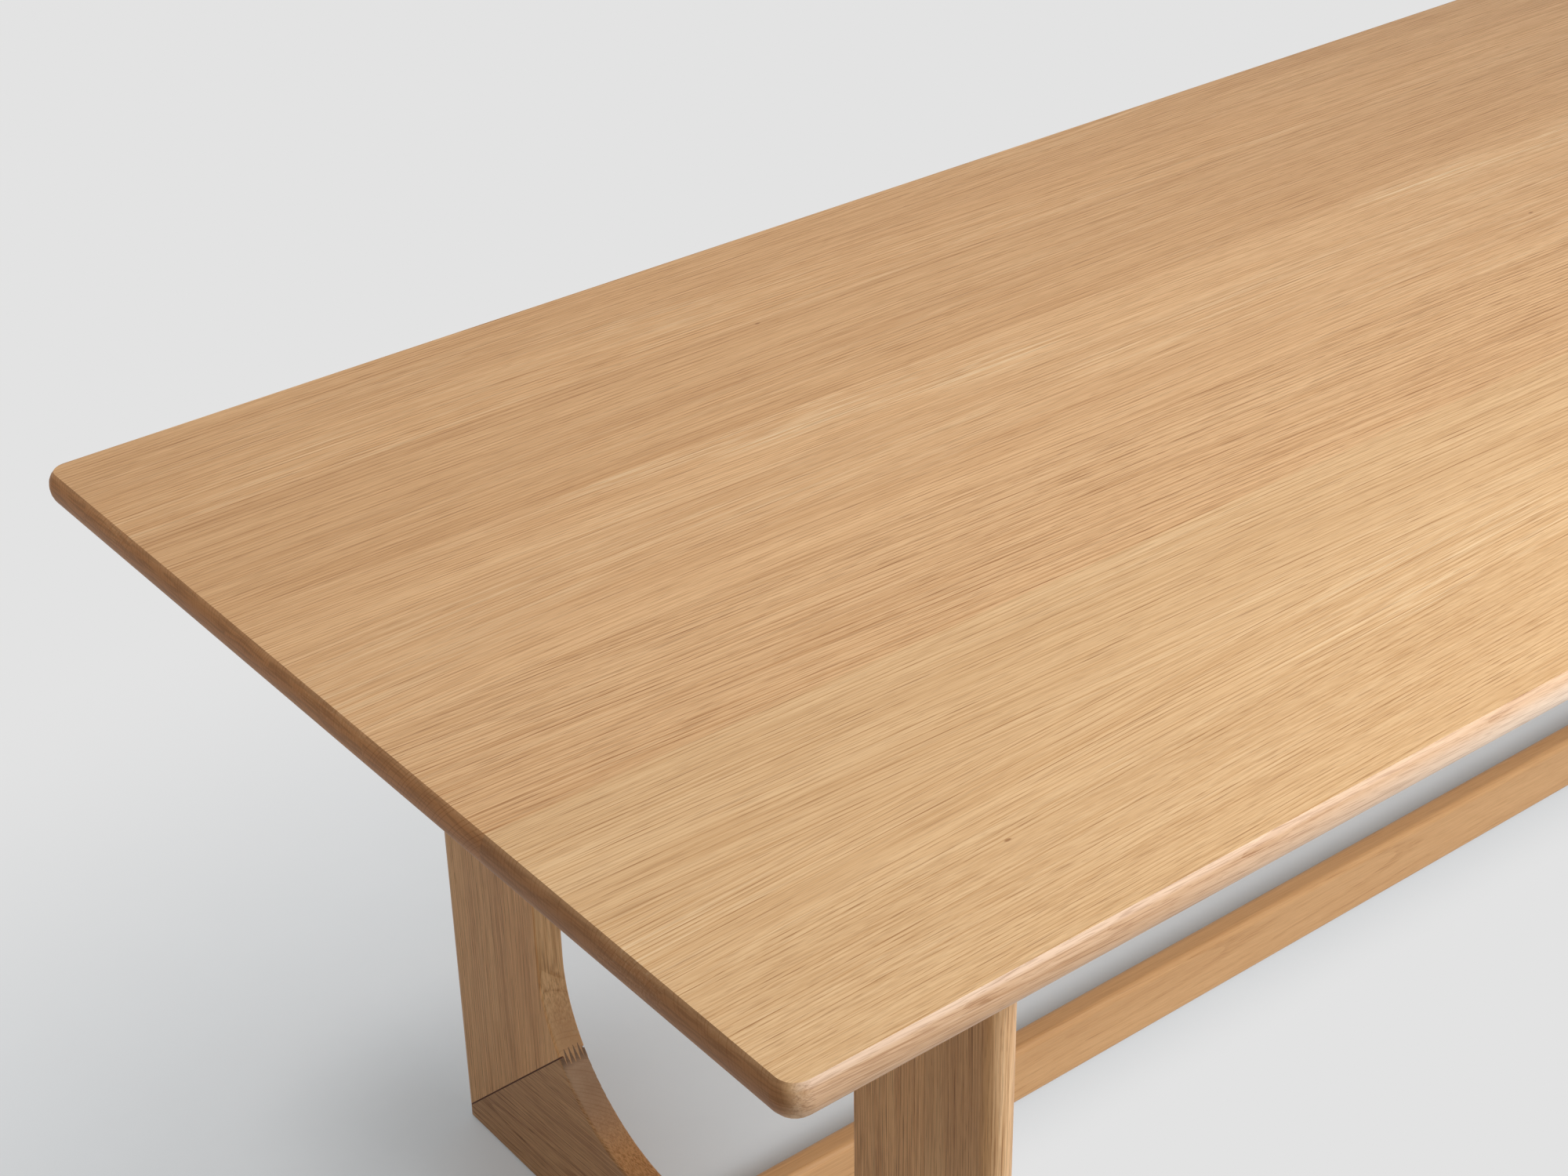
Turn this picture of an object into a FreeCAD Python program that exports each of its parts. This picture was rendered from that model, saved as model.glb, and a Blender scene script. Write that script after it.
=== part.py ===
"""Oak trestle dining table: a glued top on two U-shaped trestles with a stretcher.

Millimetres, +Z up, +X along the length. The origin is on the floor under the middle.
The left trestle stands at -X and the near long side is at -Y.
"""
import FreeCAD, Part
import os
from FreeCAD import Vector

# Overall size
table_length = 2200
table_width = 965
table_height = 740

# Top: edge-glued staves, from the near side to the far side
top_thickness = 32
top_corner_radius = 19
top_upper_round = 16
top_round_cut = 4.3
top_lower_round = 18
stave_width_shares = (0.128, 0.068, 0.136, 0.152, 0.134, 0.066, 0.156, 0.080, 0.080)

# Trestles
trestle_overhang = 262
trestle_width = 734
board_thickness = 27
upright_width = 152
near_inner_stave_width = 82
far_inner_stave_width = 52
rail_height = 107
curve_radius = 158
curve_limit_share = 0.95
foot_corner_radius = 9
outer_edge_round = 13
inner_edge_round = 3.5
lower_edge_round = 3

# Fingered mitre between each upright and the rail
finger_count = 4
finger_length = 14.5
finger_drop = 9
finger_tip_share = 0.12
finger_shoulder_margin = 0.5
mitre_rise = 5
mitre_groove_width = 1.3
mitre_groove_depth = 2.6

# Bearers between the trestles and the top
bearer_thickness = 27
bearer_width = 90
bearer_projection = 43
bearer_end_thickness = 14
bearer_taper_share = 0.9

# Stretcher, halved over both rails
stretcher_thickness = 26
stretcher_height = 63
stretcher_underside = 68
stretcher_round = 7
stretcher_projection = 15
halving_share = 0.5

# Steel channels let into the underside of the top
channel_width = 30
channel_depth = 12
channel_wall = 2
channel_end_inset = 90
channel_clearance = 0.3
channel_place_share = 0.4
channel_screw_diameter = 4
channel_screw_length = 16
channel_screw_head_diameter = 9
channel_screw_head_height = 2.6
channel_slot_travel = 4

# Bolts, washers and barrel nuts between uprights and bearers, and at the halvings
bolt_diameter = 8
bolt_clearance = 0.4
bolt_head_diameter = 13
bolt_head_height = 8
bolt_head_cover = 1.4
bolt_washer_diameter = 16
bolt_washer_thickness = 1.6
bolt_recess_clearance = 1
bolt_place_share = 0.42
barrel_nut_diameter = 14
barrel_nut_drop = 50
barrel_nut_cover = 5
barrel_nut_engagement = 6

# Dowels beside each upright bolt
dowel_diameter = 10
dowel_in_bearer = 16
dowel_in_upright = 20
dowel_end_clearance = 1
dowel_place_share = 0.3

# Screws and threaded inserts between bearers and top
screw_diameter = 6
screw_head_diameter = 12
screw_head_height = 4
screw_washer_diameter = 18
screw_washer_thickness = 1.5
screw_slot_travel = 8
screw_tip_clearance = 1
screw_place_shares = (-0.85, -0.3, 0.3, 0.85)
insert_diameter = 10
insert_length = 15

# Bolt and threaded insert at each halving
halving_recess_depth = 25
halving_insert_diameter = 12
halving_insert_length = 18

# Glides under the rails
glide_diameter = 20
glide_thickness = 4
glide_stand = 1
glide_stem_diameter = 5
glide_stem_length = 14
glide_inset = 45

# Cutting overrun and the tolerance for picking edges
overrun = 5
match_tolerance = 0.001

# Places worked out from the sizes above
top_underside = table_height - top_thickness
upright_top = top_underside - bearer_thickness
trestle_x = -(table_length / 2 - trestle_overhang - board_thickness / 2)
half_trestle = trestle_width / 2
half_opening = half_trestle - upright_width
half_board = board_thickness / 2
rail_top = glide_stand + rail_height
stretcher_top = stretcher_underside + stretcher_height
halving_height = stretcher_underside + (rail_top - stretcher_underside) * halving_share
bolt_hole_diameter = bolt_diameter + bolt_clearance
bolt_recess_diameter = bolt_washer_diameter + bolt_recess_clearance
bolt_recess_depth = bolt_head_cover + bolt_head_height + bolt_washer_thickness
bolt_y = half_opening + upright_width * bolt_place_share
barrel_nut_z = upright_top - barrel_nut_drop
channel_x = trestle_x * channel_place_share
half_channel = table_width / 2 - channel_end_inset

ORIGIN = Vector(0, 0, 0)
ALONG_X = Vector(1, 0, 0)
ALONG_Y = Vector(0, 1, 0)
UP = Vector(0, 0, 1)


def box_between(low, high):
    """Box between two opposite corners."""
    size = high - low
    return Part.makeBox(size.x, size.y, size.z, low)


def post(diameter, x, y, low, high):
    """Upright cylinder between two heights."""
    return Part.makeCylinder(diameter / 2, high - low, Vector(x, y, low))


def slot(diameter, travel, x, y, low, high):
    """Upright slot that runs across the table's length."""
    half = travel / 2
    middle = box_between(
        Vector(x - diameter / 2, y - half, low), Vector(x + diameter / 2, y + half, high)
    )
    near_end = post(diameter, x, y - half, low, high)
    far_end = post(diameter, x, y + half, low, high)
    return middle.fuse([near_end, far_end]).removeSplitter()


def mirrored(shape):
    """The same piece at the right end of the table."""
    return shape.mirror(ORIGIN, ALONG_X)


def flipped(shape):
    """The same piece on the other long side."""
    return shape.mirror(ORIGIN, ALONG_Y)


def edges_along(shape, axis):
    """Straight edges of a box that run along one axis."""
    picked = []
    for edge in shape.Edges:
        direction = edge.tangentAt(edge.FirstParameter)
        if direction.cross(axis).Length < match_tolerance:
            picked.append(edge)
    return picked


def at_height(edges, height):
    """Those edges that lie at one height."""
    return [edge for edge in edges if abs(edge.CenterOfMass.z - height) < match_tolerance]


def group(pieces):
    """Several separate pieces of one kind."""
    return Part.makeCompound(pieces)


# Top


def stave_bounds():
    """Near and far side of every stave."""
    total = sum(stave_width_shares)
    bounds = []
    near = -table_width / 2
    for share in stave_width_shares:
        far = near + table_width * share / total
        bounds.append((near, far))
        near = far
    return bounds


def top_panel():
    """The glued panel before it is told apart into staves."""
    half_length = table_length / 2
    half_width = table_width / 2
    crown = table_height + top_round_cut
    low = Vector(-half_length, -half_width, top_underside)
    panel = box_between(low, Vector(half_length, half_width, crown))
    panel = panel.makeFillet(top_corner_radius, edges_along(panel, UP))
    panel = panel.makeFillet(top_upper_round, at_height(panel.Edges, crown))
    panel = panel.makeFillet(top_lower_round, at_height(panel.Edges, top_underside))
    # planed down below the crown of the upper round, which leaves a crisp arris
    return panel.common(box_between(low, Vector(half_length, half_width, table_height)))


def top_staves(cuts):
    """The staves, with the holes and grooves of what is fixed to them."""
    panel = top_panel()
    staves = []
    for near, far in stave_bounds():
        low = Vector(-table_length, near, top_underside - overrun)
        high = Vector(table_length, far, table_height + overrun)
        room = box_between(low, high)
        staves.append(panel.common(room).cut(cuts))
    return staves


# Steel channels under the top


def channel_screw_places():
    """One screw in the middle of every stave but the two outer ones."""
    return [(near + far) / 2 for near, far in stave_bounds()[1:-1]]


def channel_blank(clearance):
    """Channel with its web level with the underside of the top."""
    half = channel_width / 2 + clearance
    end = half_channel + clearance
    web_top = top_underside + channel_wall
    flange_top = top_underside + channel_depth + clearance
    low = top_underside
    if clearance > 0:
        low = top_underside - overrun
    web = box_between(Vector(-half, -end, low), Vector(half, end, web_top))
    inner = half - channel_wall - clearance - clearance
    left_flange = box_between(Vector(-half, -end, low), Vector(-inner, end, flange_top))
    right_flange = box_between(Vector(inner, -end, low), Vector(half, end, flange_top))
    shape = web.fuse([left_flange, right_flange]).removeSplitter()
    return shape.translated(Vector(channel_x, 0, 0))


def channel():
    """Left channel with its screw slots."""
    slots = [
        slot(channel_screw_diameter, channel_slot_travel, channel_x, y, top_underside - overrun,
             top_underside + channel_wall + overrun)
        for y in channel_screw_places()
    ]
    return channel_blank(0).cut(slots)


def channel_screws():
    """Pan-head screws of the left channel."""
    screws = []
    for y in channel_screw_places():
        head_low = top_underside - channel_screw_head_height
        tip = top_underside + channel_screw_length
        head = post(channel_screw_head_diameter, channel_x, y, head_low, top_underside)
        shank = post(channel_screw_diameter, channel_x, y, top_underside, tip)
        screws.append(head.fuse(shank))
    return screws


# Trestle, built at X = 0 and then moved to the left end


def to_left_end(shape):
    """Moves a piece from the middle to the left trestle."""
    return shape.translated(Vector(trestle_x, 0, 0))


def trestle_opening():
    """The space inside the U, with its two round lower corners."""
    opening = box_between(
        Vector(-half_board - overrun, -half_opening, rail_top),
        Vector(half_board + overrun, half_opening, upright_top + overrun),
    )
    radius = min(curve_radius, half_opening * curve_limit_share)
    return opening.makeFillet(radius, at_height(edges_along(opening, ALONG_X), rail_top))


def trestle_panel():
    """The whole U with its edges rounded, before it is told apart into boards."""
    low = Vector(-half_board, -half_trestle, glide_stand)
    high = Vector(half_board, half_trestle, upright_top)
    plain = box_between(low, high)
    plan = plain.makeFillet(outer_edge_round, edges_along(plain, UP))
    front = plain.makeFillet(foot_corner_radius, at_height(edges_along(plain, ALONG_X), glide_stand))
    side = plain.makeFillet(lower_edge_round, at_height(edges_along(plain, ALONG_Y), glide_stand))
    panel = plan.common(front).common(side).cut(trestle_opening())
    return panel.makeFillet(inner_edge_round, inner_edges(panel))


def inner_edges(panel):
    """Edges around the opening on both faces of the U."""
    picked = []
    for edge in panel.Edges:
        bounds = edge.BoundBox
        flat = bounds.XLength < match_tolerance
        on_face = flat and abs(abs(edge.CenterOfMass.x) - half_board) < match_tolerance
        inside = max(abs(bounds.YMin), abs(bounds.YMax)) < half_opening + match_tolerance
        if on_face and inside and bounds.ZMax > rail_top - match_tolerance:
            picked.append(edge)
    return picked


def finger_profile():
    """Points across the board's thickness, with a plain shoulder inside each rounded face edge."""
    half_width = half_board - inner_edge_round - finger_shoulder_margin
    pitch = half_width * 2 / finger_count
    half_tip = pitch * finger_tip_share / 2
    tip = finger_length - finger_drop
    points = [(-half_board - overrun, 0), (-half_width, 0)]
    for index in range(finger_count):
        start = -half_width + pitch * index
        middle = start + pitch / 2
        points.append((start + half_tip, -finger_drop))
        points.append((middle - half_tip, tip))
        points.append((middle + half_tip, tip))
        points.append((start + pitch - half_tip, -finger_drop))
    points.append((half_width, 0))
    points.append((half_board + overrun, 0))
    return points


def mitre_block(outline):
    """Solid that runs along the near mitre, from an outline of thickness and height above it."""
    along = Vector(0, 1, 1).normalize()
    across = Vector(0, -1, 1).normalize()
    reach = trestle_width + table_height
    start = Vector(0, -half_trestle, glide_stand + mitre_rise) - along * reach
    points = [start + ALONG_X * x + across * height for x, height in outline]
    block = Part.Face(Part.makePolygon(points + points[:1])).extrude(along * (reach + reach))
    near_half = box_between(Vector(-reach, -reach, -reach), Vector(reach, 0, reach))
    return block.common(near_half)


def near_upright_space():
    """Space on the upright's side of the near mitre, bounded by the fingers."""
    reach = trestle_width + table_height
    last_x = half_board + overrun
    return mitre_block(finger_profile() + [(last_x, reach), (-last_x, reach)])


def near_mitre_grooves():
    """Narrow grooves along the near mitre, one on each face of the trestle."""
    half = mitre_groove_width / 2
    outer = half_board + overrun
    bottom = half_board - mitre_groove_depth
    groove = mitre_block([(bottom, -half), (outer, -half), (outer, half), (bottom, half)])
    return [groove, mirrored(groove)]


def trestle_boards():
    """Near upright, far upright and rail of one trestle."""
    panel = trestle_panel()
    near_space = near_upright_space()
    near = panel.common(near_space)
    far = panel.common(flipped(near_space))
    rail = panel.cut([near, far])
    grooves = near_mitre_grooves()
    grooves += [flipped(groove) for groove in grooves]
    return near.cut(grooves), far.cut(grooves), rail.cut(grooves)


def upright_staves(upright, inner_stave_width, side):
    """Outer and inner stave of an upright on the near (-1) or far (1) side."""
    joint = side * (half_opening + inner_stave_width)
    outer_end = side * (half_trestle + overrun)
    low = Vector(-half_board - overrun, min(joint, outer_end), -overrun)
    high = Vector(half_board + overrun, max(joint, outer_end), upright_top + overrun)
    outer_room = box_between(low, high)
    return upright.common(outer_room), upright.cut(outer_room)


# Bearer and what holds it


def bearer_blank():
    """Bearer with its tapered ends."""
    end = half_trestle + bearer_projection
    shoulder = end - bearer_projection * bearer_taper_share
    tip_low = top_underside - bearer_end_thickness
    outline = [
        (-end, top_underside), (end, top_underside), (end, tip_low),
        (shoulder, upright_top), (-shoulder, upright_top), (-end, tip_low), (-end, top_underside),
    ]
    face = Part.Face(Part.makePolygon([Vector(-bearer_width / 2, y, z) for y, z in outline]))
    return face.extrude(ALONG_X * bearer_width)


def bolt_ys():
    """Places of the upright bolts across the table."""
    return (-bolt_y, bolt_y)


def upright_bolts():
    """Bolts from the bearer down into the barrel nuts."""
    bolts = []
    seat = top_underside - bolt_head_cover - bolt_head_height
    for y in bolt_ys():
        head = post(bolt_head_diameter, 0, y, seat, seat + bolt_head_height)
        shank = post(bolt_diameter, 0, y, barrel_nut_z - barrel_nut_engagement, seat)
        bolts.append(head.fuse(shank))
    return bolts


def ring(outer_diameter, inner_diameter, y, low, high):
    """Flat ring or sleeve round an upright axis."""
    body = post(outer_diameter, 0, y, low, high)
    return body.cut(post(inner_diameter, 0, y, low - overrun, high + overrun))


def upright_washers():
    """Washers under the heads of the upright bolts."""
    low = top_underside - bolt_recess_depth
    return [ring(bolt_washer_diameter, bolt_diameter, y, low, low + bolt_washer_thickness) for y in bolt_ys()]


def barrel_nut_blanks():
    """Barrel nuts, flush with the inner face of the trestle."""
    length = board_thickness - barrel_nut_cover
    ends = [Vector(half_board - length, y, barrel_nut_z) for y in bolt_ys()]
    return [Part.makeCylinder(barrel_nut_diameter / 2, length, end, ALONG_X) for end in ends]


def barrel_nuts():
    """Barrel nuts with the hole for the bolt."""
    low = barrel_nut_z - barrel_nut_diameter
    holes = [post(bolt_diameter, 0, y, low, upright_top) for y in bolt_ys()]
    return [blank.cut(hole) for blank, hole in zip(barrel_nut_blanks(), holes)]


def dowel_places():
    """Places of the dowels beside the upright bolts."""
    offset = upright_width * dowel_place_share
    return [y + shift for y in bolt_ys() for shift in (-offset, offset)]


def dowels(end_clearance):
    """Dowels between uprights and bearer, or their holes when given a clearance."""
    low = upright_top - dowel_in_upright - end_clearance
    high = upright_top + dowel_in_bearer + end_clearance
    return [post(dowel_diameter, 0, y, low, high) for y in dowel_places()]


def bolt_holes():
    """Bolt holes from the bearer's recess down past the barrel nuts."""
    holes = []
    for y in bolt_ys():
        low = barrel_nut_z - barrel_nut_engagement
        holes.append(post(bolt_hole_diameter, 0, y, low, top_underside))
        recess_low = top_underside - bolt_recess_depth
        holes.append(post(bolt_recess_diameter, 0, y, recess_low, top_underside + overrun))
    return holes


def screw_ys():
    """Places of the bearer screws, inside the opening of the trestle."""
    return [half_opening * share for share in screw_place_shares]


def bearer_screws():
    """Screws from under the bearer up into the inserts."""
    screws = []
    seat = upright_top - screw_washer_thickness
    tip = top_underside + insert_length - screw_tip_clearance
    for y in screw_ys():
        head = post(screw_head_diameter, 0, y, seat - screw_head_height, seat)
        screws.append(head.fuse(post(screw_diameter, 0, y, seat, tip)))
    return screws


def screw_washers():
    """Washers between the screw heads and the bearer."""
    low = upright_top - screw_washer_thickness
    return [ring(screw_washer_diameter, screw_diameter, y, low, upright_top) for y in screw_ys()]


def top_inserts():
    """Threaded inserts in the underside of the top."""
    high = top_underside + insert_length
    return [ring(insert_diameter, screw_diameter, y, top_underside, high) for y in screw_ys()]


def insert_holes():
    """Holes in the top for the inserts."""
    high = top_underside + insert_length
    return [post(insert_diameter, 0, y, top_underside - overrun, high) for y in screw_ys()]


def bearer():
    """Bearer with slots for its screws and holes for bolts and dowels."""
    low = upright_top - overrun
    high = top_underside + overrun
    slots = [slot(screw_diameter, screw_slot_travel, 0, y, low, high) for y in screw_ys()]
    return bearer_blank().cut(slots + bolt_holes() + dowels(dowel_end_clearance))


# Stretcher and its halvings


def stretcher_end():
    """Distance of the stretcher's ends from the middle."""
    return -trestle_x + half_board + stretcher_projection


def rail_crossing():
    """Part of the stretcher's section that the rail gives way to."""
    half = stretcher_thickness / 2
    low = Vector(-half_board - overrun, -half, halving_height)
    high = Vector(half_board + overrun, half, stretcher_top)
    return box_between(low, high)


def stretcher_crossing():
    """Part of the rail that the stretcher gives way to, at the left end."""
    half = stretcher_thickness / 2 + overrun
    crossing = box_between(
        Vector(-half_board, -half, stretcher_underside - overrun), Vector(half_board, half, halving_height)
    )
    return to_left_end(crossing)


def halving_insert_hole():
    """Hole in the stretcher for the left insert."""
    end = halving_height + halving_insert_length
    return to_left_end(post(halving_insert_diameter, 0, 0, halving_height - overrun, end))


def stretcher():
    """Stretcher with rounded edges and a halving over each rail."""
    end = stretcher_end()
    half = stretcher_thickness / 2
    board = box_between(Vector(-end, -half, stretcher_underside), Vector(end, half, stretcher_top))
    board = board.makeFillet(stretcher_round, edges_along(board, ALONG_X))
    left_cuts = [stretcher_crossing(), halving_insert_hole()]
    return board.cut(left_cuts + [mirrored(cut) for cut in left_cuts])


def halving_insert():
    """Threaded insert in the stretcher."""
    return ring(
        halving_insert_diameter, bolt_diameter, 0, halving_height, halving_height + halving_insert_length
    )


def halving_seat():
    """Height of the recess that takes the bolt's head under the rail."""
    return glide_stand + halving_recess_depth


def halving_bolt():
    """Bolt from under the rail up into the stretcher."""
    seat = halving_seat() - bolt_washer_thickness
    head = post(bolt_head_diameter, 0, 0, seat - bolt_head_height, seat)
    return head.fuse(post(bolt_diameter, 0, 0, seat, halving_height + halving_insert_length))


def halving_washer():
    """Washer above the bolt's head."""
    seat = halving_seat()
    return ring(bolt_washer_diameter, bolt_diameter, 0, seat - bolt_washer_thickness, seat)


def rail_cuts():
    """Halving, bolt hole and glide recesses in a rail."""
    recess = post(bolt_recess_diameter, 0, 0, -overrun, halving_seat())
    hole = post(bolt_hole_diameter, 0, 0, -overrun, halving_height)
    return [rail_crossing(), recess, hole] + glides()


# Glides


def glides():
    """Two glides of a trestle, let into the rail and standing a little proud of it."""
    pieces = []
    for side in (-1, 1):
        y = side * (half_trestle - glide_inset)
        pad = post(glide_diameter, 0, y, 0, glide_thickness)
        stem = post(glide_stem_diameter, 0, y, glide_thickness, glide_thickness + glide_stem_length)
        pieces.append(pad.fuse(stem))
    return pieces


# The table


def left_pieces():
    """Every piece of the left trestle by name, at its place."""
    near, far, rail = trestle_boards()
    upright_cuts = bolt_holes() + dowels(dowel_end_clearance) + barrel_nut_blanks()
    near_outer, near_inner = upright_staves(near.cut(upright_cuts), near_inner_stave_width, -1)
    far_outer, far_inner = upright_staves(far.cut(upright_cuts), far_inner_stave_width, 1)
    pieces = {
        "upright_near_outer": near_outer,
        "upright_near_inner": near_inner,
        "upright_far_outer": far_outer,
        "upright_far_inner": far_inner,
        "rail": rail.cut(rail_cuts()),
        "bearer": bearer(),
        "upright_dowels": group(dowels(0)),
        "upright_bolts": group(upright_bolts()),
        "bolt_washers": group(upright_washers()),
        "barrel_nuts": group(barrel_nuts()),
        "bearer_screws": group(bearer_screws()),
        "screw_washers": group(screw_washers()),
        "top_inserts": group(top_inserts()),
        "glides": group(glides()),
        "halving_bolt": halving_bolt(),
        "halving_washer": halving_washer(),
        "halving_insert": halving_insert(),
    }
    return {name: to_left_end(shape) for name, shape in pieces.items()}


def table_pieces():
    """Every piece of the table by name."""
    left_top_cuts = [to_left_end(hole) for hole in insert_holes()]
    left_top_cuts += [channel_blank(channel_clearance)] + channel_screws()
    top_cuts = left_top_cuts + [mirrored(cut) for cut in left_top_cuts]
    pieces = {}
    for number, stave in enumerate(top_staves(top_cuts), start=1):
        pieces["top_stave_%d" % number] = stave
    for name, shape in left_pieces().items():
        pieces["left_" + name] = shape
        pieces["right_" + name] = mirrored(shape)
    pieces["left_channel"] = channel()
    pieces["right_channel"] = mirrored(channel())
    screws = channel_screws()
    pieces["channel_screws"] = group(screws + [mirrored(screw) for screw in screws])
    pieces["stretcher"] = stretcher()
    return pieces


def main():
    """Writes every piece to its own file."""
    os.makedirs("parts", exist_ok=True)
    for name, shape in table_pieces().items():
        shape.exportStep("parts/%s.step" % name)


main()
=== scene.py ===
"""Oak trestle dining table: finishes, fasteners, studio and camera around its solid model."""

import logging
import math
from dataclasses import dataclass, replace
from enum import Enum
from typing import Any

import bmesh
import bpy
from mathutils import Matrix, Vector


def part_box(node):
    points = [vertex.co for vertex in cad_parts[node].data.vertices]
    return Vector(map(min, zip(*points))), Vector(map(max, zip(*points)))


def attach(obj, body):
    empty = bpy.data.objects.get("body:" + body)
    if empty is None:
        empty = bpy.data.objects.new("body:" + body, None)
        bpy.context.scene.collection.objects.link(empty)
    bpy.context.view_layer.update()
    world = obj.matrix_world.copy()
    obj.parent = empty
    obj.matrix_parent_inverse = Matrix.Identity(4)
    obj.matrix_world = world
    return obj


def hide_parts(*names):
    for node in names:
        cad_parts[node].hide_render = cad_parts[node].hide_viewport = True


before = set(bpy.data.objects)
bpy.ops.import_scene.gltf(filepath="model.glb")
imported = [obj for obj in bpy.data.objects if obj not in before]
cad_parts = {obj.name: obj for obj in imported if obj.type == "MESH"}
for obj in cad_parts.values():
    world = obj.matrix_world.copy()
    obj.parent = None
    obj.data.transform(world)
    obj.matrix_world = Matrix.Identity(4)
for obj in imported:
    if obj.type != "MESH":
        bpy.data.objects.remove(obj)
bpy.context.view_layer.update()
log = logging.getLogger("oak_table")

Colour = tuple[float, float, float]
Point = tuple[float, float, float]
Spot = tuple[float, float]
Range = tuple[float, float]
Settings = dict[str, Any]
Sockets = dict[int | str, Any]


def tint(red: float, green: float, blue: float) -> Colour:
    """Linear colour of a display colour.

    Args:
        red: Red, from 0 to 255.
        green: Green, from 0 to 255.
        blue: Blue, from 0 to 255.

    Returns:
        The three linear parts of the colour.
    """
    parts = [channel / 255 for channel in (red, green, blue)]
    return tuple(part / 12.92 if part <= 0.04045 else ((part + 0.055) / 1.055) ** 2.4 for part in parts)


def scaled(colour: Colour, share: float) -> Colour:
    """A linear colour made lighter or darker by a share of itself."""
    return tuple(part * share for part in colour)


class Field:
    """A node's output that takes part in arithmetic and adds Math nodes as it does."""

    def __init__(self, tree: "ShaderTree", socket: bpy.types.NodeSocket) -> None:
        """Keeps the tree and the output socket."""
        self.tree = tree
        self.socket = socket

    def other(self, output: str) -> "Field":
        """Another output of the same node."""
        return Field(self.tree, self.socket.node.outputs[output])

    def maths(self, operation: str, *operands: "Field | float") -> "Field":
        """A Math node on the given operands."""
        return self.tree.add("ShaderNodeMath", {"operation": operation}, dict(enumerate(operands)))

    def __add__(self, other: "Field | float") -> "Field":
        """Sum."""
        return self.maths("ADD", self, other)

    def __radd__(self, other: float) -> "Field":
        """Sum with a number in front."""
        return self.maths("ADD", other, self)

    def __sub__(self, other: "Field | float") -> "Field":
        """Difference."""
        return self.maths("SUBTRACT", self, other)

    def __rsub__(self, other: float) -> "Field":
        """Difference from a number."""
        return self.maths("SUBTRACT", other, self)

    def __mul__(self, other: "Field | float") -> "Field":
        """Product."""
        return self.maths("MULTIPLY", self, other)

    def __rmul__(self, other: float) -> "Field":
        """Product with a number in front."""
        return self.maths("MULTIPLY", other, self)

    def __truediv__(self, other: "Field | float") -> "Field":
        """Quotient."""
        return self.maths("DIVIDE", self, other)

    def __pow__(self, other: "Field | float") -> "Field":
        """Power."""
        return self.maths("POWER", self, other)

    def __abs__(self) -> "Field":
        """Size without the sign."""
        return self.maths("ABSOLUTE", self)

    def rest(self) -> "Field":
        """What is left after the last whole number."""
        return self.maths("FRACT", self)

    def most(self, other: "Field | float") -> "Field":
        """The larger of two values."""
        return self.maths("MAXIMUM", self, other)

    def step(self, low: float, high: float) -> "Field":
        """Smooth step.

        Args:
            low: Value at which the step is 0.
            high: Value at which the step is 1.

        Returns:
            A value from 0 to 1.
        """
        settings = {"interpolation_type": "SMOOTHSTEP"}
        sockets = {"Value": self, "From Min": low, "From Max": high}
        return self.tree.add("ShaderNodeMapRange", settings, sockets)


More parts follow.
